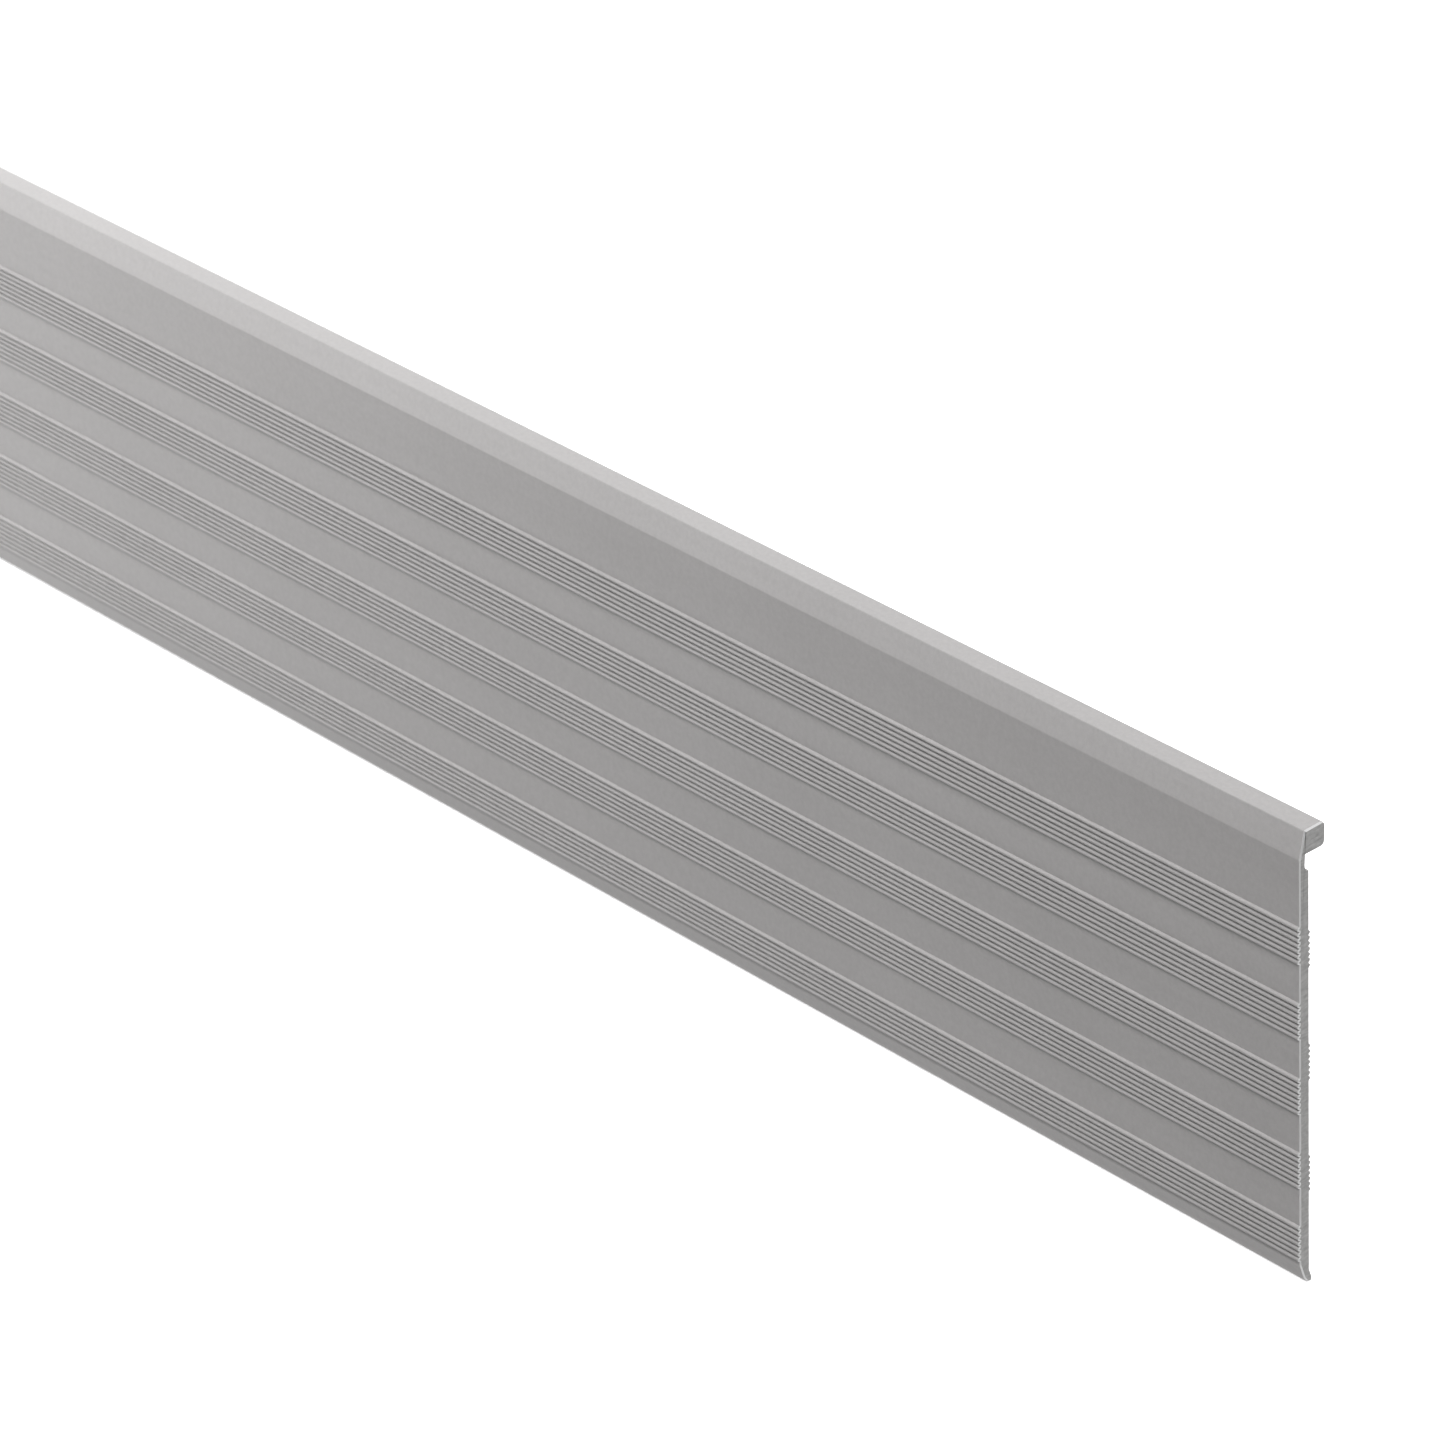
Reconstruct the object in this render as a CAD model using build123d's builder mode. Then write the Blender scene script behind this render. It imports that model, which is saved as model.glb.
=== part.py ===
from build123d import *
import math
import os

# Threshold strip: one aluminium extrusion that stands upright against the riser of a doorway and
# hooks over the riser's top edge, with bonding tapes on its back. Millimetres, +Z up, +X along
# the strip, front face towards -Y. The origin is at mid-length and mid-depth, level with the
# lowest edge. In the cross-section, depth runs back from the plate's front face and height runs
# up from the lowest edge.

# Driving dimensions
strip_length = 1000.0
strip_height = 109.05
plate_thickness = 2.6

# Raised round ribs, the same size on both faces of the plate
rib_pitch = 1.3
rib_width = 1.04
ribs_per_group = 7

# Front: bands of ribs
front_band_count = 5
front_band_pitch = 18.0
front_first_rib_height = 6.65
front_rib_proud = 0.5

# Back: groups of key ribs that grip the adhesive
key_group_count = 3
key_group_pitch = 27.0
key_first_rib_height = 22.9
key_rib_proud = 0.4

# Head, which hooks over the riser: leaning front, nearly level top, upright back
head_depth = 7.13
head_front_height = 102.6
head_crease_depth = 1.43
head_crease_height = 108.9
head_crease_radius = 0.3
head_top_back_radius = 1.05
head_low_back_radius = 1.15
head_underside_height = 103.4

# Neck between the head and the plate, thinned from behind
neck_thickness = 1.5
neck_bottom_height = 100.35
neck_fillet_radius = 0.35
shoulder_depth = 2.07
shoulder_height = 99.4

# Lower lip, which leans back from the plate to a round toe
lip_bend_height = 5.2
lip_knee_depth = 1.22
lip_knee_height = 1.5
lip_back_height = 3.2
toe_radius = 0.74
toe_centre_depth = 2.61

# Bonding tapes, one on each flat land of the back, each under a peel-off liner
tape_width = 12.0
tape_thickness = 1.0
tape_end_setback = 8.0
liner_thickness = 0.15
liner_tab_length = 5.0

# Places worked out from the driving dimensions
front_face_y = -(head_depth - front_rib_proud) / 2
back_face_y = front_face_y + plate_thickness
profile_plane = Plane(
    origin=(-strip_length / 2, front_face_y, 0), x_dir=(0, 1, 0), z_dir=(1, 0, 0)
)
rib_half_width = rib_width / 2
group_height = rib_pitch * (ribs_per_group - 1)
key_group_bottoms = [key_first_rib_height + key_group_pitch * k for k in range(key_group_count)]
front_band_bottoms = [front_first_rib_height + front_band_pitch * k for k in range(front_band_count)]

os.makedirs("parts", exist_ok=True)


def tangent_point(point, centre, radius, side):
    """Where a line from a point grazes a circle, on the line's left (1) or its right (-1)."""
    reach = centre - point
    heading = math.atan2(reach.Y, reach.X) + side * math.asin(radius / reach.length)
    run = math.sqrt(reach.length**2 - radius**2)
    return point + Vector(math.cos(heading), math.sin(heading)) * run


def rib(face_depth, crest_depth, centre_height, climb):
    """One round rib as a single arc, drawn upwards (climb 1) or downwards (climb -1)."""
    ThreePointArc(
        (face_depth, centre_height - climb * rib_half_width),
        (crest_depth, centre_height),
        (face_depth, centre_height + climb * rib_half_width),
    )


# Strip profile, anticlockwise: round the toe, up the ribbed back, over the head, down the front
toe_centre = Vector(toe_centre_depth, toe_radius)
knee = Vector(lip_knee_depth, lip_knee_height)
lip_back = Vector(plate_thickness, lip_back_height)
toe_front = tangent_point(knee, toe_centre, toe_radius, -1)
toe_rear = tangent_point(lip_back, toe_centre, toe_radius, 1)
toe_outer = toe_centre + Vector(1, -1).normalized() * toe_radius

with BuildPart() as strip_profile:
    with BuildSketch(profile_plane) as section:
        with BuildLine():
            ThreePointArc(toe_front, toe_outer, toe_rear)
            Line(toe_rear, lip_back)

            height = lip_back_height
            for group_bottom in key_group_bottoms:
                for step in range(ribs_per_group):
                    centre = group_bottom + rib_pitch * step
                    Line((plate_thickness, height), (plate_thickness, centre - rib_half_width))
                    rib(plate_thickness, plate_thickness + key_rib_proud, centre, 1)
                    height = centre + rib_half_width

            Polyline(
                (plate_thickness, height),
                (plate_thickness, shoulder_height),
                (shoulder_depth, shoulder_height),
                (neck_thickness, neck_bottom_height),
                (neck_thickness, head_underside_height),
                (head_depth, head_underside_height),
                (head_depth, strip_height),
                (head_crease_depth, head_crease_height),
                (0, head_front_height),
            )

            height = head_front_height
            for band_bottom in reversed(front_band_bottoms):
                for step in reversed(range(ribs_per_group)):
                    centre = band_bottom + rib_pitch * step
                    Line((0, height), (0, centre + rib_half_width))
                    rib(0, -front_rib_proud, centre, -1)
                    height = centre - rib_half_width

            Polyline((0, height), (0, lip_bend_height), knee, toe_front)
        make_face()
        for corner, radius in (
            ((neck_thickness, head_underside_height), neck_fillet_radius),
            ((head_depth, head_underside_height), head_low_back_radius),
            ((head_depth, strip_height), head_top_back_radius),
            ((head_crease_depth, head_crease_height), head_crease_radius),
        ):
            fillet(section.vertices().sort_by_distance(corner)[0], radius)
    extrude(amount=strip_length)

strip_profile.part.label = "strip_profile"
export_step(strip_profile.part, "parts/strip_profile.step")

# Bonding tapes and liners: one pair in each flat land between the groups of key ribs
land_bottoms = [lip_back_height] + [
    bottom + group_height + rib_half_width for bottom in key_group_bottoms
]
land_tops = [bottom - rib_half_width for bottom in key_group_bottoms] + [shoulder_height]
land_names = ("lower", "lower_middle", "upper_middle", "upper")
tape_length = strip_length - 2 * tape_end_setback

for land_name, land_bottom, land_top in zip(land_names, land_bottoms, land_tops):
    land_centre = (land_bottom + land_top) / 2

    with BuildPart() as tape:
        with BuildSketch(Plane.XZ.offset(-back_face_y)):
            with Locations((0, land_centre)):
                Rectangle(tape_length, tape_width)
        extrude(amount=-tape_thickness)

    tape.part.label = f"{land_name}_tape"
    export_step(tape.part, f"parts/{land_name}_tape.step")

    # The liner runs on past the tape at the far end, as a tab to pull it by
    with BuildPart() as liner:
        with BuildSketch(Plane.XZ.offset(-back_face_y - tape_thickness)):
            with Locations((-liner_tab_length / 2, land_centre)):
                Rectangle(tape_length + liner_tab_length, tape_width)
        extrude(amount=-liner_thickness)

    liner.part.label = f"{land_name}_liner"
    export_step(liner.part, f"parts/{land_name}_liner.step")
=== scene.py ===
"""Looks of the threshold strip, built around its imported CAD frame. Metres, in the CAD frame."""
import math

import bpy
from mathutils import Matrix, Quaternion, Vector, noise as smooth_noise


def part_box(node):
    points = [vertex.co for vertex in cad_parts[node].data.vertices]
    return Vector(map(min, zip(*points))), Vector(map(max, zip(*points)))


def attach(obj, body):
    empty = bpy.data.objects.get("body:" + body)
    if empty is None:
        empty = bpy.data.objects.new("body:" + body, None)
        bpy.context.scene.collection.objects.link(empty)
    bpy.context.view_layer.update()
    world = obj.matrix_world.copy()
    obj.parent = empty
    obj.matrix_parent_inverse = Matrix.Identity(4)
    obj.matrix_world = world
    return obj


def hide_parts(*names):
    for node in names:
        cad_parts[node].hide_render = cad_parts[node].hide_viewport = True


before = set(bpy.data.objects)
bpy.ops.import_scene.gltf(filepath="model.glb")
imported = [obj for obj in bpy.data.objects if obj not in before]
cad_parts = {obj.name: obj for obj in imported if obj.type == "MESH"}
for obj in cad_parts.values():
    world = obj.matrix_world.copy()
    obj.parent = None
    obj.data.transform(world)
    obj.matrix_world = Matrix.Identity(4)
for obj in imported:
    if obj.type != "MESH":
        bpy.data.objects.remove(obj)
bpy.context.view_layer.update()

MM = 0.001
PI = math.pi
SHARP_ANGLE = math.radians(40)

# ---- The strip's section, in millimetres ----------------------------------------------------
# Depth runs back from the plate's front face and height runs up from the lowest edge, as in CAD.
strip_low, strip_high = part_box("strip_profile")
FRONT_RIB_PROUD = 0.5
FRONT_FACE_Y = strip_low.y + FRONT_RIB_PROUD * MM
HEAD_DEPTH = (strip_high.y - FRONT_FACE_Y) / MM
LANDS = ("lower", "lower_middle", "upper_middle", "upper")
TAPE_BOX = {land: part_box(land + "_tape") for land in LANDS}
PLATE_THICKNESS = (TAPE_BOX["lower"][0].y - FRONT_FACE_Y) / MM

# Round ribs, in bands on the front and groups of key ribs on the back
RIB_PITCH = 1.3
RIBS_PER_GROUP = 7
GROUP_HEIGHT = RIB_PITCH * (RIBS_PER_GROUP - 1)
RIB_RADIUS = 0.52
RIB_ROOT_RADIUS = 0.1
FRONT_BAND_COUNT = 5
FRONT_BAND_PITCH = 18.0
FRONT_FIRST_RIB = 6.65
FRONT_BANDS = [FRONT_FIRST_RIB + FRONT_BAND_PITCH * band for band in range(FRONT_BAND_COUNT)]
KEY_RIB_PROUD = 0.4
KEY_GROUP_COUNT = 3
KEY_GROUP_PITCH = 27.0
KEY_FIRST_RIB = 22.9
KEY_GROUPS = [KEY_FIRST_RIB + KEY_GROUP_PITCH * group for group in range(KEY_GROUP_COUNT)]

# Painted shade, darker metal colour standing in for the shade between ribs: up to this height
# between ribs, and painted shadow on these facets under the foot of a band
PAINTED_SHADE_HEIGHT = 0.46
BAND_FOOT = (0.2, 0.4, 0.62)

# Corners of the head, the neck and the lower lip
HEAD_FRONT = Vector((0, 102.6))
HEAD_CREASE = Vector((1.43, 108.9))
HEAD_TOP_BACK = Vector((HEAD_DEPTH, 109.05))
HEAD_LOW_BACK = Vector((HEAD_DEPTH, 103.4))
NECK_TOP = Vector((1.5, 103.4))
NECK_BOTTOM = Vector((1.5, 100.35))
SHOULDER_INNER = Vector((2.07, 99.4))
SHOULDER_OUTER = Vector((PLATE_THICKNESS, 99.4))
LIP_BACK = Vector((PLATE_THICKNESS, 3.2))
LIP_BEND = Vector((0, 5.2))
KNEE = Vector((1.22, 1.5))
TOE_CENTRE = Vector((2.61, 0.74))

HEAD_FRONT_RADIUS = 2.4
HEAD_CREASE_RADIUS = 0.3
HEAD_TOP_BACK_RADIUS = 1.05
HEAD_LOW_BACK_RADIUS = 1.15
NECK_TOP_RADIUS = 0.35
NECK_BOTTOM_RADIUS = 0.15
SHOULDER_RADIUS = 0.12
LIP_BACK_RADIUS = 1.2
LIP_BEND_RADIUS = 1.5
KNEE_RADIUS = 0.4
TOE_RADIUS = 0.74

# How many straight steps stand for each arc, and how many spans the strip has along X
RIB_STEPS = 18
ROOT_STEPS = 3
CORNER_STEPS = 8
CREASE_STEPS = 10
HEAD_BACK_STEPS = 14
TOE_STEPS = 16
STRIP_SPANS = 8

# The deburred edge round the cut ends, along X and across the section
DEBURR_LENGTH = 0.24
DEBURR_FRONT = 0.34
DEBURR_TOP = 0.46
ARRIS = 0.04

# Which of the strip's materials its cut ends and their deburred edges take
SAWN_SLOT = 1
FILED_SLOT = 2

# Foam tapes: how far the slit edges bulge and wander, and how the ends are snipped
TAPE_BULGE = 0.12
TAPE_BULGE_STEPS = 8
TAPE_WANDER = 0.14
TAPE_WANDER_RUN = 17
TAPE_STEP = 3.0
TAPE_SNIPS = (0.35, -0.245)
TAPE_EDGE = 0.05
TAPE_END_SHARE = 0.97

# Paper liners: where the edges lift, and the curled tab at the end that is pulled
LINER_STEP = 3.0
LINER_ACROSS = 12
LINER_INSET = 0.02
LINER_WANDER = 0.12
LINER_WANDER_RUN = 90
LINER_LIFT = 0.07
LINER_LIFT_VARIES = 2.0
LINER_LIFT_RUN = 23
LINER_FREE = 1.0
TAB_CURL = 0.9
TAB_CURL_VARIES = 0.5
TAB_CORNER = 1.6
TAB_CORNER_SHARE = 0.98
TAB_STEPS = 16

# Places in the noise, far enough apart that no two edges wander alike
TRACK_SPACING = 7.3
CURL_SPACING = 3.7
CURL_ROW = 1.5
NOISE_LEVEL = 0.5
EDGE_TRACKS_APART = 10
LINER_TRACKS_APART = 30


def arc(centre, radius, start, stop, steps):
    """Points on a circle from one angle to another, in radians, both ends included."""
    angles = [start + (stop - start) * step / steps for step in range(steps + 1)]
    return [centre + Vector((math.cos(a), math.sin(a))) * radius for a in angles]


def rounded(before, corner, after, radius, steps=CORNER_STEPS):
    """The arc that rounds a corner of the outline."""
    arrive, leave = (corner - before).normalized(), (after - corner).normalized()
    turn = math.atan2(arrive.x * leave.y - arrive.y * leave.x, arrive.dot(leave))
    reach = radius * math.tan(abs(turn) / 2)
    side = math.copysign(1, turn)
    inward = Vector((-arrive.y, arrive.x)) * side
    centre = corner - arrive * reach + inward * radius
    start = math.atan2(-inward.y, -inward.x)
    return arc(centre, radius, start, start + turn, steps)


def rib(face, proud, centre_height, outward):
    """A round rib with small root fillets, drawn upwards. Outward is 1 on the back, -1 in front."""
    inset = RIB_RADIUS - proud
    rise = math.sqrt((RIB_RADIUS + RIB_ROOT_RADIUS) ** 2 - (inset + RIB_ROOT_RADIUS) ** 2)
    lean = math.atan2(rise, inset + RIB_ROOT_RADIUS)
    low_root = Vector((RIB_ROOT_RADIUS, -rise))
    high_root = Vector((RIB_ROOT_RADIUS, rise))
    points = arc(low_root, RIB_ROOT_RADIUS, PI, PI - lean, ROOT_STEPS)[:-1]
    points += arc(Vector((-inset, 0)), RIB_RADIUS, -lean, lean, RIB_STEPS)
    points += arc(high_root, RIB_ROOT_RADIUS, lean - PI, -PI, ROOT_STEPS)[1:]
    return [Vector((face + outward * p.x, centre_height + p.y)) for p in points]


def tangent_angle(point, centre, radius, side):
    """The angle, seen from a circle's centre, at which a line from a point grazes the circle."""
    reach = centre - point
    lean = math.asin(radius / reach.length)
    return math.atan2(reach.y, reach.x) + side * (lean + PI / 2)


def outline():
    """The section as points, anticlockwise from the toe, each with its deburring width."""
    front_angle = tangent_angle(KNEE, TOE_CENTRE, TOE_RADIUS, -1)
    rear_angle = tangent_angle(LIP_BACK, TOE_CENTRE, TOE_RADIUS, 1)
    toe = arc(TOE_CENTRE, TOE_RADIUS, front_angle, rear_angle, TOE_STEPS)

    back = rounded(toe[-1], LIP_BACK, SHOULDER_OUTER, LIP_BACK_RADIUS)
    for group in KEY_GROUPS:
        for step in range(RIBS_PER_GROUP):
            back += rib(PLATE_THICKNESS, KEY_RIB_PROUD, group + RIB_PITCH * step, 1)
    back += rounded(back[-1], SHOULDER_OUTER, SHOULDER_INNER, SHOULDER_RADIUS)
    back += rounded(SHOULDER_OUTER, SHOULDER_INNER, NECK_BOTTOM, SHOULDER_RADIUS)
    back += rounded(SHOULDER_INNER, NECK_BOTTOM, NECK_TOP, NECK_BOTTOM_RADIUS)
    back += rounded(NECK_BOTTOM, NECK_TOP, HEAD_LOW_BACK, NECK_TOP_RADIUS)
    back += rounded(
        NECK_TOP, HEAD_LOW_BACK, HEAD_TOP_BACK, HEAD_LOW_BACK_RADIUS, HEAD_BACK_STEPS
    )
    top = rounded(
        HEAD_LOW_BACK, HEAD_TOP_BACK, HEAD_CREASE, HEAD_TOP_BACK_RADIUS, HEAD_BACK_STEPS
    )

    crease = rounded(HEAD_TOP_BACK, HEAD_CREASE, HEAD_FRONT, HEAD_CREASE_RADIUS, CREASE_STEPS)
    head_foot = rounded(HEAD_CREASE, HEAD_FRONT, LIP_BEND, HEAD_FRONT_RADIUS, CREASE_STEPS)
    front = crease + head_foot
    for band in reversed(FRONT_BANDS):
        for step in reversed(range(RIBS_PER_GROUP)):
            front += reversed(rib(0, FRONT_RIB_PROUD, band + RIB_PITCH * step, -1))
        # Extra points under each band, so that its painted shadow falls on facets of their own
        front += [Vector((0, band - RIB_RADIUS - drop)) for drop in BAND_FOOT]
    front += rounded(front[-1], LIP_BEND, KNEE, LIP_BEND_RADIUS)
    front += rounded(LIP_BEND, KNEE, toe[0], KNEE_RADIUS)

    half_toe = len(toe) // 2
    high_front = len(crease) + len(head_foot) // 2
    widths = [DEBURR_FRONT] * half_toe + [ARRIS] * (len(toe) - half_toe + len(back))
    widths += [ARRIS + (DEBURR_TOP - ARRIS) * i / (len(top) - 1) for i in range(len(top))]
    widths += [DEBURR_TOP] * high_front + [DEBURR_FRONT] * (len(front) - high_front)
    return toe + back + top + front, widths


def inset_outline(points, widths):
    """The outline moved inwards by each point's own width."""
    count = len(points)
    moved = []
    for i, point in enumerate(points):
        before = (point - points[i - 1]).normalized()
        after = (points[(i + 1) % count] - point).normalized()
        inward = Vector((-before.y - after.y, before.x + after.x)).normalized()
        moved.append(point + inward * widths[i])
    return moved


def painted_shade_share(low, high):
    """How much painted shade a face of the outline takes: down between ribs, and painted shadow
    just under a band, from 0 to 1.
    """
    middle = (low + high) / 2
    in_front = middle.x < PLATE_THICKNESS / 2
    proud = -middle.x if in_front else middle.x - PLATE_THICKNESS
    if abs(proud) > FRONT_RIB_PROUD:
        return 0.0
    bottoms = FRONT_BANDS if in_front else KEY_GROUPS
    bottom = min(bottoms, key=lambda height: abs(middle.y - height - GROUP_HEIGHT / 2))
    if middle.y > bottom + GROUP_HEIGHT:
        return 0.0
    below = bottom - RIB_RADIUS - middle.y
    if below > 0:
        return max(0.0, 1 - below / BAND_FOOT[-1])
    return max(0.0, 1 - max(proud, 0) / PAINTED_SHADE_HEIGHT)


def loft(name, rings, node):
    """A closed skin over rings of points, end to end, as the piece that stands for a CAD node."""
    count = len(rings[0])
    faces = []
    for ring in range(len(rings) - 1):
        for i in range(count):
            j = (i + 1) % count
            low, high = ring * count, (ring + 1) * count
            faces.append((low + i, low + j, high + j, high + i))
    last = (len(rings) - 1) * count
    faces.append(tuple(reversed(range(count))))
    faces.append(tuple(range(last, last + count)))
    mesh = bpy.data.meshes.new(name)
    mesh.from_pydata([point for ring in rings for point in ring], [], faces)
    piece = bpy.data.objects.new(name, mesh)
    bpy.context.scene.collection.objects.link(piece)
    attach(piece, "root")
    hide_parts(node)
    return piece


def build_strip():
    """The extrusion: rings of the section along X, with deburred edges at both cut ends."""
    points, widths = outline()
    inner = inset_outline(points, widths)
    widest = max(widths)
    lengths = [DEBURR_LENGTH * MM * width / widest for width in widths]
    count = len(points)

    def ring(places, section):
        return [(x, FRONT_FACE_Y + p.x * MM, p.y * MM) for x, p in zip(places, section)]

    rings = [ring([strip_low.x] * count, inner)]
    rings.append(ring([strip_low.x + run for run in lengths], points))
    for span in range(1, STRIP_SPANS):
        x = strip_low.x + (strip_high.x - strip_low.x) * span / STRIP_SPANS
        rings.append(ring([x] * count, points))
    rings.append(ring([strip_high.x - run for run in lengths], points))
    rings.append(ring([strip_high.x] * count, inner))
    strip = loft("threshold_strip", rings, "strip_profile")

    # Each face's share of painted shade between ribs and painted shadow under bands, kept on the
    # mesh for the metal's colour
    painted_shade_shares = [painted_shade_share(points[i], points[(i + 1) % count]) for i in range(count)]
    painted_shade_shares = painted_shade_shares * (len(rings) - 1) + [0, 0]
    painted_shade = strip.data.attributes.new("painted_shade", "FLOAT", "FACE")
    painted_shade.data.foreach_set("value", painted_shade_shares)
    for material in (anodised_aluminium(), sawn_aluminium(), filed_aluminium()):
        strip.data.materials.append(material)
    sides = count * (len(rings) - 1)
    for index, polygon in enumerate(strip.data.polygons):
        if index >= sides:
            polygon.material_index = SAWN_SLOT
        elif index < count or index >= sides - count:
            polygon.material_index = FILED_SLOT


def waver(x, track, size, run):
    """A gentle wandering along X, up to about a size, over runs of a length in millimetres."""
    return size * smooth_noise.noise(Vector((x / (run * MM), track * TRACK_SPACING, NOISE_LEVEL)))


def end_slant(x, track):
    """How far the upper edge of a tape and its liner is pushed along X by the slanting snips."""
    snip = TAPE_SNIPS[track % len(TAPE_SNIPS)]
    return snip * x / TAPE_BOX["lower"][1].x


def finish_soft_piece(piece, material):
    """Gives a tape or liner its material and smooth shading with crisp edges."""
    piece.data.materials.append(material)
    piece.data.shade_smooth()
    piece.data.set_sharp_from_angle(angle=SHARP_ANGLE)


def build_tape(name, track, material):
    """A foam tape on one land: bulging slit edges that wander a little, and snipped ends."""
    low, high = TAPE_BOX[name]
    thick, half = (high.y - low.y) / MM, (high.z - low.z) / 2 / MM
    centre_z = (low.z + high.z) / 2
    bulge_radius = (thick**2 / 4 + TAPE_BULGE**2) / (2 * TAPE_BULGE)
    spread = math.asin(thick / 2 / bulge_radius)
    edge_centre = half - bulge_radius
    section = []
    for side in (-1, 1):
        heading = side * PI / 2
        section += arc(Vector((thick / 2, side * edge_centre)), bulge_radius,
                       heading - spread, heading + spread, TAPE_BULGE_STEPS)

    length = high.x - low.x
    spans = round(length / (TAPE_STEP * MM))
    stations = [(low.x, 0.0, TAPE_END_SHARE), (low.x, TAPE_EDGE, 1.0)]
    stations += [(low.x + length * step / spans, 0.0, 1.0) for step in range(1, spans)]
    stations += [(high.x, -TAPE_EDGE, 1.0), (high.x, 0.0, TAPE_END_SHARE)]
    rings = []
    for x, pull_in, share in stations:
        ring = []
        for p in section:
            side = 1 if p.y > 0 else -1
            edge_track = track + EDGE_TRACKS_APART * side
            height = p.y * share + waver(x, edge_track, TAPE_WANDER, TAPE_WANDER_RUN)
            depth = thick / 2 + (p.x - thick / 2) * share
            slant = end_slant(x, track) * p.y / half
            ring.append((x + (pull_in + slant) * MM, low.y + depth * MM, centre_z + height * MM))
        rings.append(ring)
    tape = loft("foam_tape_" + name, rings, name + "_tape")
    finish_soft_piece(tape, material)


def build_liner(name, track, material):
    """The paper liner over a tape: edges lifting here and there, and a curled tab to pull."""
    low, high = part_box(name + "_liner")
    thick, half = (high.y - low.y) / MM, (high.z - low.z) / 2 / MM
    centre_z = (low.z + high.z) / 2
    tape_end = TAPE_BOX[name][0].x
    tab = (tape_end - low.x) / MM + LINER_FREE
    curl_place = Vector((track * CURL_SPACING, CURL_ROW, NOISE_LEVEL))
    curl = TAB_CURL * (1 + TAB_CURL_VARIES * smooth_noise.noise(curl_place))

    bend_x = tape_end + LINER_FREE * MM
    length = high.x - tape_end
    spans = round(length / (LINER_STEP * MM))
    flat = [high.x - length * step / spans for step in range(spans)]
    stations = [(x, 0.0) for x in flat if x > bend_x + MM]
    stations += [(bend_x, tab * step / TAB_STEPS) for step in range(TAB_STEPS + 1)]
    across = [-1 + 2 * step / LINER_ACROSS for step in range(LINER_ACROSS + 1)]
    rings = []
    for x, run in stations:
        turn = curl * run / tab
        reach = math.sin(turn) * tab / curl
        rise = (1 - math.cos(turn)) * tab / curl
        left = min(tab - run, TAB_CORNER)
        narrow = TAB_CORNER - math.sqrt(TAB_CORNER**2 - (TAB_CORNER - left) ** 2)
        half_width = half - narrow * TAB_CORNER_SHARE - LINER_INSET
        slant = end_slant(x, track) if run == 0 else 0.0
        wander = waver(x, track + LINER_TRACKS_APART, LINER_WANDER, LINER_WANDER_RUN)
        ring = []
        for outer in (0, 1):
            back = -reach + outer * thick * math.sin(turn)
            for share in across if outer else reversed(across):
                lifting = 1 + waver(x, track + share, LINER_LIFT_VARIES, LINER_LIFT_RUN)
                lift = max(LINER_LIFT * share**4 * lifting, 0)
                off = rise + lift + outer * thick * math.cos(turn)
                ring.append((x + (back + slant * share) * MM, low.y + off * MM,
                             centre_z + (share * half_width + wander) * MM))
        rings.append(ring)
    rings.reverse()
    liner = loft("peel_liner_" + name, rings, name + "_liner")
    finish_soft_piece(liner, material)


# ---- Materials ------------------------------------------------------------------------------
METAL_TONE = 0.54
METAL_TINT = (1.0, 0.975, 0.970)
METAL_SHARE = 0.5
METAL_ROUGHNESS = 0.37
METAL_ROUGHNESS_SPREAD = 0.02
# How far the painted shade between ribs and the painted shadow under bands darken the metal's
# colour
PAINTED_SHADE_STRENGTH = 0.42
CUT_METAL_SHARE = 0.9
SAWN_TINT = (1.0, 0.995, 0.985)
SAW_SLANT = math.radians(38)
FOAM_TINT = (1.0, 0.99, 0.97)
FOAM_CELLS_PER_METRE = 5200.0
PAPER_TONE = 0.84
PAPER_TINT = (1.0, 0.972, 0.90)


def add_node(material, kind, values=None, **settings):
    """A shader node with its settings and input values."""
    made = material.node_tree.nodes.new(kind)
    for name, value in settings.items():
        setattr(made, name, value)
    for name, value in (values or {}).items():
        made.inputs[name].default_value = value
    return made


def join(material, source, target):
    """A link from one node's output to another's input."""
    material.node_tree.links.new(source, target)


def new_material(name, **values):
    """A material and its surface shader, with the shader's plain input values."""
    material = bpy.data.materials.new(name)
    material.use_nodes = True
    surface = material.node_tree.nodes["Principled BSDF"]
    for socket, value in values.items():
        surface.inputs[socket.replace("_", " ")].default_value = value
    return material, surface


def noise(material, per_metre, detail, rough=0.5):
    """Noise over the object's own coordinates, with its scale along each axis per metre."""
    place = add_node(material, "ShaderNodeTexCoord")
    stretch = add_node(material, "ShaderNodeMapping", {"Scale": per_metre})
    made = add_node(
        material, "ShaderNodeTexNoise", {"Scale": 1.0, "Detail": detail, "Roughness": rough}
    )
    join(material, place.outputs["Object"], stretch.inputs["Vector"])
    join(material, stretch.outputs["Vector"], made.inputs["Vector"])
    return made.outputs["Fac"]


def remap(material, value, low, high, from_low=0.3, from_high=0.7):
    """A value brought from one range, by default that of noise, to another."""
    made = add_node(
        material,
        "ShaderNodeMapRange",
        {"From Min": from_low, "From Max": from_high, "To Min": low, "To Max": high},
    )
    join(material, value, made.inputs["Value"])
    return made.outputs["Result"]


def calculate(material, operation, first, second):
    """A sum or product of two values, either of which may be a plain number."""
    made = add_node(material, "ShaderNodeMath", operation=operation)
    for index, value in enumerate((first, second)):
        if isinstance(value, (int, float)):
            made.inputs[index].default_value = value
        else:
            join(material, value, made.inputs[index])
    return made.outputs["Value"]


def multiply(material, *values):
    """The product of several values."""
    total = values[0]
    for value in values[1:]:
        total = calculate(material, "MULTIPLY", total, value)
    return total


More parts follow.
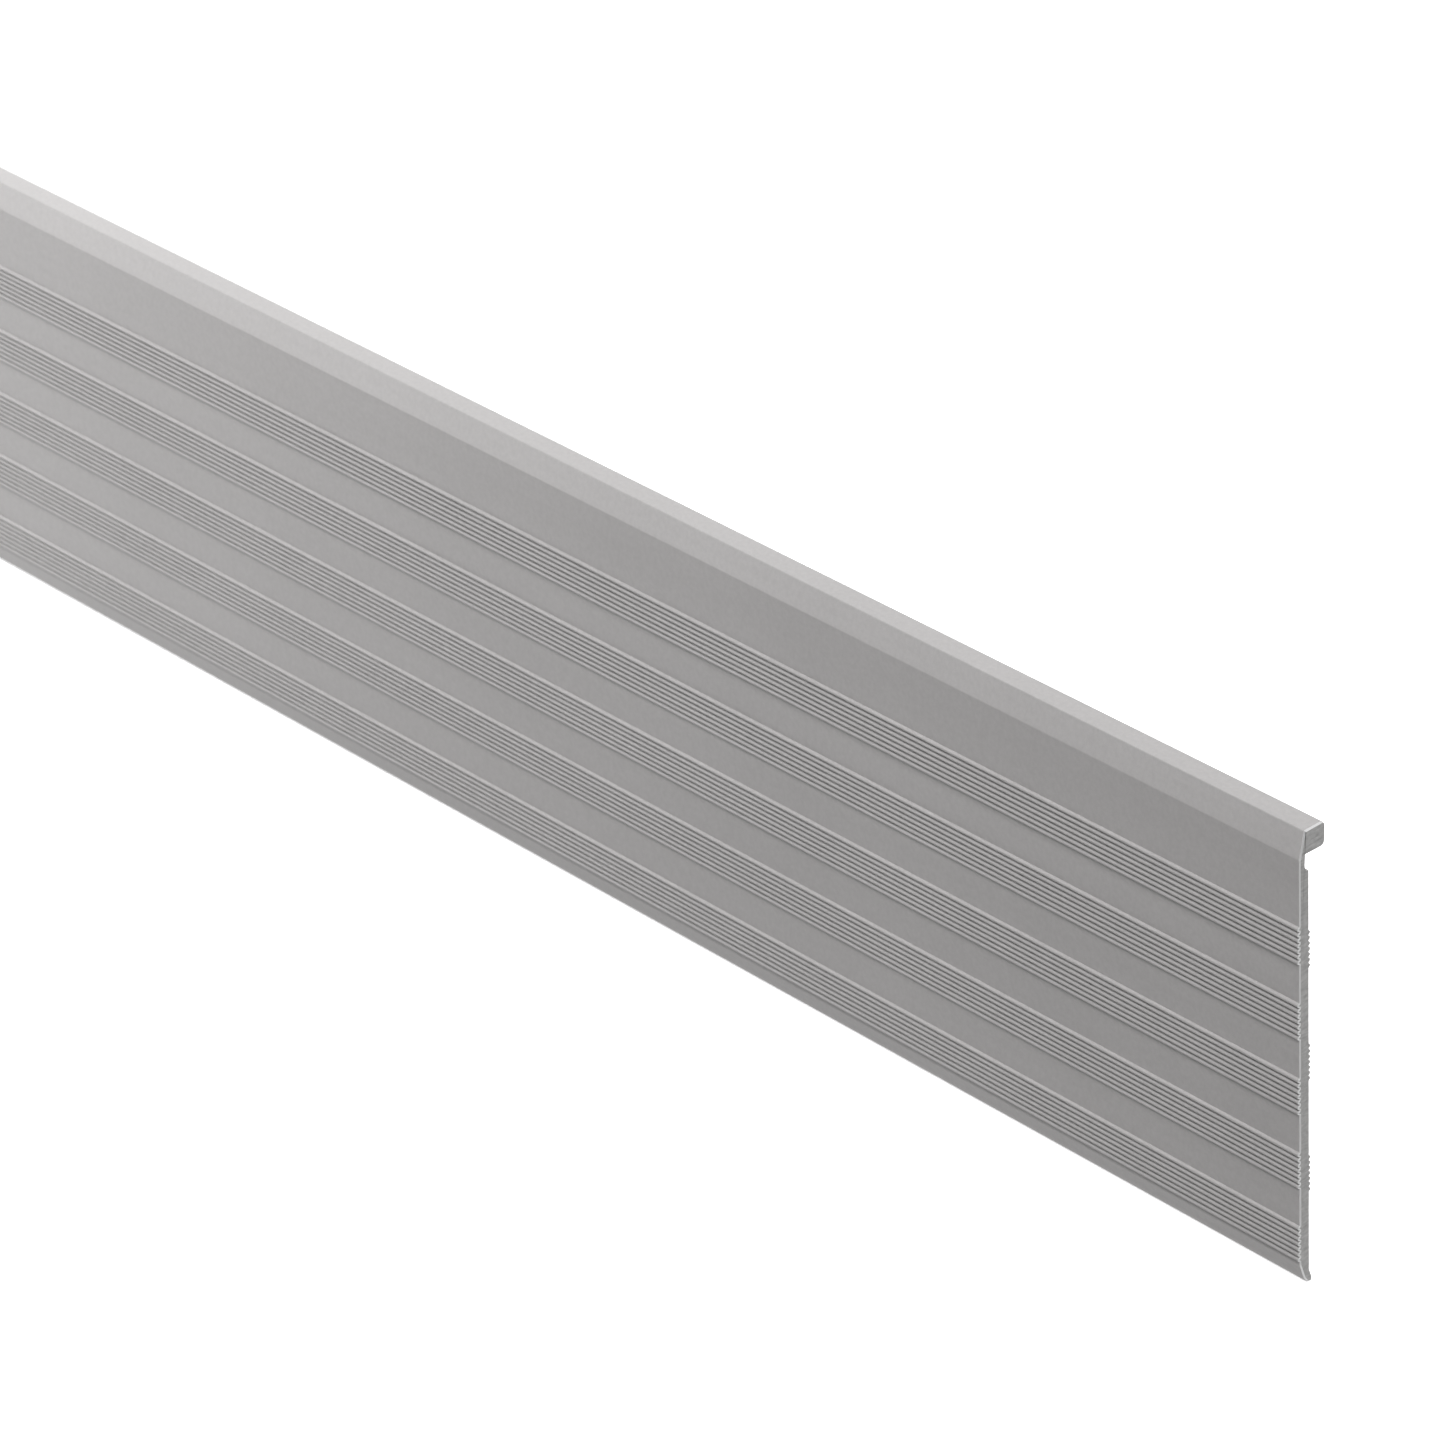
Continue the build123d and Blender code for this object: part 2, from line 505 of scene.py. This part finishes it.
def grey(material, value, tint=(1, 1, 1)):
    """A colour from a brightness, tinted."""
    made = add_node(material, "ShaderNodeCombineColor")
    for channel, share in zip(("Red", "Green", "Blue"), tint):
        join(material, multiply(material, value, share), made.inputs[channel])
    return made.outputs["Color"]


def bump(material, height, depth, strength=1.0, under=None):
    """Relief of a depth in millimetres, laid over any relief under it."""
    made = add_node(
        material, "ShaderNodeBump", {"Distance": depth * MM, "Strength": strength}
    )
    join(material, height, made.inputs["Height"])
    if under is not None:
        join(material, under, made.inputs["Normal"])
    return made.outputs["Normal"]


def dress(material, surface, colour, roughness, relief):
    """Joins the colour, roughness and relief to a material's surface shader."""
    join(material, colour, surface.inputs["Base Color"])
    join(material, roughness, surface.inputs["Roughness"])
    join(material, relief, surface.inputs["Normal"])
    return material


def anodised_aluminium():
    """Satin silver anodising: fine grain over die lines, with painted shade darkening its colour
    down between the ribs.
    """
    material, surface = new_material("anodised_aluminium", Metallic=METAL_SHARE)
    streaks = noise(material, per_metre=(1.2, 420, 420), detail=4.0)
    die_lines = noise(material, per_metre=(3, 3200, 3200), detail=2.0)
    cloud = noise(material, per_metre=(22, 22, 22), detail=2.0)
    grain = noise(material, per_metre=(5200, 5200, 5200), detail=1.0)
    mottle = noise(material, per_metre=(1000, 1000, 1000), detail=2.0)
    # Painted shade: the metal's colour darkened between the ribs, and painted shadow under each
    # band
    painted_shade = add_node(material, "ShaderNodeAttribute", attribute_name="painted_shade")
    tone = multiply(
        material,
        remap(material, streaks, low=0.985, high=1.015),
        remap(material, cloud, low=0.985, high=1.015),
        remap(material, grain, low=0.97, high=1.03),
        remap(material, mottle, low=0.965, high=1.035),
        remap(material, painted_shade.outputs["Fac"], 1.0, 1.0 - PAINTED_SHADE_STRENGTH, 0.0, 1.0),
        METAL_TONE,
    )
    smoothest = METAL_ROUGHNESS - METAL_ROUGHNESS_SPREAD
    roughest = METAL_ROUGHNESS + METAL_ROUGHNESS_SPREAD
    roughness = calculate(
        material,
        "ADD",
        remap(material, streaks, smoothest, roughest),
        remap(material, grain, low=-0.015, high=0.015),
    )
    relief = bump(material, die_lines, depth=0.006)
    relief = bump(material, grain, depth=0.010, under=relief)
    return dress(material, surface, grey(material, tone, METAL_TINT), roughness, relief)


def sawn_aluminium():
    """The cut end: bare metal with slanting saw marks and a torn grain."""
    material, surface = new_material("sawn_aluminium", Metallic=CUT_METAL_SHARE)
    place = add_node(material, "ShaderNodeTexCoord")
    turn = add_node(
        material, "ShaderNodeMapping", {"Rotation": (SAW_SLANT, 0, 0), "Scale": (1, 420, 2600)}
    )
    marks = add_node(
        material,
        "ShaderNodeTexNoise",
        {"Scale": 1.0, "Detail": 4.0, "Roughness": 0.6, "Distortion": 0.3},
    )
    join(material, place.outputs["Object"], turn.inputs["Vector"])
    join(material, turn.outputs["Vector"], marks.inputs["Vector"])
    blotch = noise(material, per_metre=(900, 900, 900), detail=3.0)
    tone = calculate(
        material,
        "ADD",
        remap(material, marks.outputs["Fac"], low=-0.08, high=0.08),
        remap(material, blotch, low=0.36, high=0.48),
    )
    roughness = remap(material, blotch, low=0.38, high=0.55)
    relief = bump(material, marks.outputs["Fac"], depth=0.04)
    relief = bump(material, blotch, depth=0.03, under=relief)
    return dress(material, surface, grey(material, tone, SAWN_TINT), roughness, relief)


def filed_aluminium():
    """The deburred edge round a cut end: bright, fine filing marks."""
    material, surface = new_material("filed_aluminium", Metallic=CUT_METAL_SHARE)
    marks = noise(material, per_metre=(6000, 6000, 700), detail=3.0)
    colour = grey(material, remap(material, marks, low=0.87, high=0.96))
    roughness = remap(material, marks, low=0.30, high=0.42)
    return dress(material, surface, colour, roughness, bump(material, marks, depth=0.01))


def foam():
    """Dark closed-cell foam, with cut cells showing on its edges."""
    material, surface = new_material("closed_cell_foam", Sheen_Weight=0.08)
    place = add_node(material, "ShaderNodeTexCoord")
    cells = add_node(
        material, "ShaderNodeTexVoronoi", {"Scale": FOAM_CELLS_PER_METRE, "Randomness": 1.0}
    )
    join(material, place.outputs["Object"], cells.inputs["Vector"])
    pores = remap(material, cells.outputs["Distance"], 0.0, 1.0, from_low=0.15, from_high=0.6)
    cloud = noise(material, per_metre=(160, 160, 160), detail=3.0)
    tone = multiply(
        material,
        remap(material, pores, 0.035, 0.085, from_low=0.0, from_high=1.0),
        remap(material, cloud, low=0.85, high=1.15),
    )
    roughness = remap(material, cloud, low=0.62, high=0.8)
    relief = bump(material, pores, depth=0.05)
    return dress(material, surface, grey(material, tone, FOAM_TINT), roughness, relief)


def liner_paper():
    """Cream release paper: fibres, faint roll lines along it and a soft silicone sheen."""
    material, surface = new_material("liner_paper", Coat_Weight=0.15, Coat_Roughness=0.35)
    fibres = noise(material, per_metre=(1500, 1500, 1500), detail=4.0, rough=0.65)
    cloud = noise(material, per_metre=(60, 60, 60), detail=3.0)
    lines = noise(material, per_metre=(4, 300, 900), detail=2.0)
    tone = multiply(
        material,
        remap(material, fibres, low=0.94, high=1.03),
        remap(material, cloud, low=0.95, high=1.03),
        remap(material, lines, low=0.992, high=1.004),
        PAPER_TONE,
    )
    roughness = remap(material, fibres, low=0.42, high=0.62)
    relief = bump(material, cloud, depth=0.25, strength=0.6)
    relief = bump(material, fibres, depth=0.02, under=relief)
    return dress(material, surface, grey(material, tone, PAPER_TINT), roughness, relief)


# ---- Stage, light and camera ----------------------------------------------------------------
# The surroundings' brightness by height: a share of the way from straight down to straight up
SKY_LEVELS = (
    (0.0, 0.15), (0.06, 0.60), (0.13, 0.60), (0.24, 0.0), (0.40, 0.18), (0.6, 0.15), (1.0, 0.22)
)
# Broad glows beyond the far end, beyond the near end and behind, and a dimmer core in the first,
# so that the head's top keeps its tone when seen from the near end. Axis, start, end, level
GLOWS = (
    ("X", -0.66, -0.90, 3.5), ("X", 0.0, 0.8, 0.34), ("Y", 0.1, 0.7, 0.55),
    ("X", -0.90, -0.985, -2.6),
)
BACKDROP = (1, 1, 1, 1)

FLOOR_HALF = 30.0
FLOOR_TONE = (0.9, 0.9, 0.9, 1)
FLOOR_GLOW = 0.55

KEY_DIRECTION = (0.42, -0.39, 0.93)
KEY_STRENGTH = 3.05
KEY_ANGLE = math.radians(26)
SIDE_PLACE = (-0.6, -0.65, 0.05)
SIDE_AIM = (0.0, 0.0, 0.05)
SIDE_SIZE = (0.5, 0.4)
SIDE_POWER = 0.25

# The camera stands at the front right, a little above, with a long lens
CAMERA_AIM_FROM_END = 0.17396
CAMERA_AIM_HEIGHT = 0.06418
CAMERA_DISTANCE = 1.5794
CAMERA_AZIMUTH = math.radians(49.359)
CAMERA_ELEVATION = math.radians(30.093)
CAMERA_ROLL = math.radians(-2.728)
CAMERA_LENS = 181.16
CAMERA_SENSOR = 36.0
CAMERA_CLIP = (0.05, 100.0)
CAMERA_FSTOP = 52.0


def build_world():
    """Studio surroundings: bright far below, soft above, brightest round the far end."""
    world = bpy.data.worlds.new("studio")
    bpy.context.scene.world = world
    world.use_nodes = True
    tree = world.node_tree
    tree.nodes.clear()

    def add(kind, **settings):
        made = tree.nodes.new(kind)
        for name, value in settings.items():
            setattr(made, name, value)
        return made

    place = add("ShaderNodeTexCoord")
    split = add("ShaderNodeSeparateXYZ")
    tree.links.new(place.outputs["Generated"], split.inputs["Vector"])
    rise = add("ShaderNodeValToRGB")
    height = add("ShaderNodeMapRange")
    height.inputs["From Min"].default_value = -1  # the Z of a direction straight down
    tree.links.new(split.outputs["Z"], height.inputs["Value"])
    tree.links.new(height.outputs["Result"], rise.inputs["Fac"])
    ramp = rise.color_ramp
    while len(ramp.elements) < len(SKY_LEVELS):
        ramp.elements.new(position=0.5)
    for element, (position, level) in zip(ramp.elements, SKY_LEVELS):
        element.position = position
        element.color = (level, level, level, 1)

    total = rise.outputs["Color"]
    for axis, start, end, level in GLOWS:
        glow = add("ShaderNodeMapRange", interpolation_type="SMOOTHSTEP")
        glow.inputs["From Min"].default_value = start
        glow.inputs["From Max"].default_value = end
        glow.inputs["To Max"].default_value = level
        tree.links.new(split.outputs[axis], glow.inputs["Value"])
        added = add("ShaderNodeMath", operation="ADD")
        tree.links.new(total, added.inputs[0])
        tree.links.new(glow.outputs["Result"], added.inputs[1])
        total = added.outputs["Value"]

    studio = add("ShaderNodeBackground")
    tree.links.new(total, studio.inputs["Strength"])
    backdrop = add("ShaderNodeBackground")
    backdrop.inputs["Color"].default_value = BACKDROP
    ray = add("ShaderNodeLightPath")
    mix = add("ShaderNodeMixShader")
    output = add("ShaderNodeOutputWorld")
    tree.links.new(ray.outputs["Is Camera Ray"], mix.inputs["Fac"])
    tree.links.new(studio.outputs["Background"], mix.inputs[1])
    tree.links.new(backdrop.outputs["Background"], mix.inputs[2])
    tree.links.new(mix.outputs["Shader"], output.inputs["Surface"])


def build_floor():
    """A pale floor, white under the studio light, that keeps the faint shadow of the strip."""
    mesh = bpy.data.meshes.new("floor")
    turns = ((-1, -1), (1, -1), (1, 1), (-1, 1))
    corners = [(FLOOR_HALF * x, FLOOR_HALF * y, 0) for x, y in turns]
    mesh.from_pydata(corners, [], [(0, 1, 2, 3)])
    floor = bpy.data.objects.new("floor", mesh)
    bpy.context.scene.collection.objects.link(floor)
    material, surface = new_material("pale_floor", Roughness=1.0, Specular_IOR_Level=0.0)
    surface.inputs["Base Color"].default_value = FLOOR_TONE
    surface.inputs["Emission Color"].default_value = (1, 1, 1, 1)
    surface.inputs["Emission Strength"].default_value = FLOOR_GLOW
    mesh.materials.append(material)
    floor.visible_diffuse = False
    floor.visible_glossy = False
    floor.visible_shadow = False


def build_lights():
    """A broad key light from above the near end and the front, and a soft box off the far end."""
    key = bpy.data.lights.new("key", "SUN")
    key.energy = KEY_STRENGTH
    key.angle = KEY_ANGLE
    lamp = bpy.data.objects.new("key", key)
    lamp.rotation_euler = (-Vector(KEY_DIRECTION)).to_track_quat("-Z", "Y").to_euler()
    bpy.context.scene.collection.objects.link(lamp)

    side = bpy.data.lights.new("side", "AREA")
    side.shape = "RECTANGLE"
    side.size, side.size_y = SIDE_SIZE
    side.energy = SIDE_POWER
    panel = bpy.data.objects.new("side", side)
    panel.location = SIDE_PLACE
    heading = Vector(SIDE_AIM) - Vector(SIDE_PLACE)
    panel.rotation_euler = heading.to_track_quat("-Z", "Y").to_euler()
    panel.visible_camera = False
    bpy.context.scene.collection.objects.link(panel)


def build_camera():
    """The camera, rolled slightly, focused on the near end so that the far end is a little soft."""
    camera_data = bpy.data.cameras.new("camera")
    camera_data.lens = CAMERA_LENS
    camera_data.sensor_width = CAMERA_SENSOR
    camera_data.clip_start, camera_data.clip_end = CAMERA_CLIP
    camera = bpy.data.objects.new("camera", camera_data)
    back = Vector((
        math.sin(CAMERA_AZIMUTH) * math.cos(CAMERA_ELEVATION),
        -math.cos(CAMERA_AZIMUTH) * math.cos(CAMERA_ELEVATION),
        math.sin(CAMERA_ELEVATION),
    ))
    aim = Vector((strip_high.x - CAMERA_AIM_FROM_END, FRONT_FACE_Y, CAMERA_AIM_HEIGHT))
    camera.location = aim + back * CAMERA_DISTANCE
    camera.rotation_mode = "QUATERNION"
    camera.rotation_quaternion = (-back).to_track_quat("-Z", "Y")
    camera.rotation_quaternion.rotate(Quaternion(back, CAMERA_ROLL))
    focus = bpy.data.objects.new("focus", None)
    focus.location = (strip_high.x, FRONT_FACE_Y, CAMERA_AIM_HEIGHT)
    camera_data.dof.use_dof = True
    camera_data.dof.focus_object = focus
    camera_data.dof.aperture_fstop = CAMERA_FSTOP
    for made in (focus, camera):
        bpy.context.scene.collection.objects.link(made)
    bpy.context.scene.camera = camera


bpy.context.scene.view_settings.view_transform = "Standard"
build_strip()
tape_foam = foam()
tape_paper = liner_paper()
for track, land in enumerate(LANDS):
    build_tape(land, track, tape_foam)
    build_liner(land, track, tape_paper)
build_world()
build_floor()
build_lights()
build_camera()
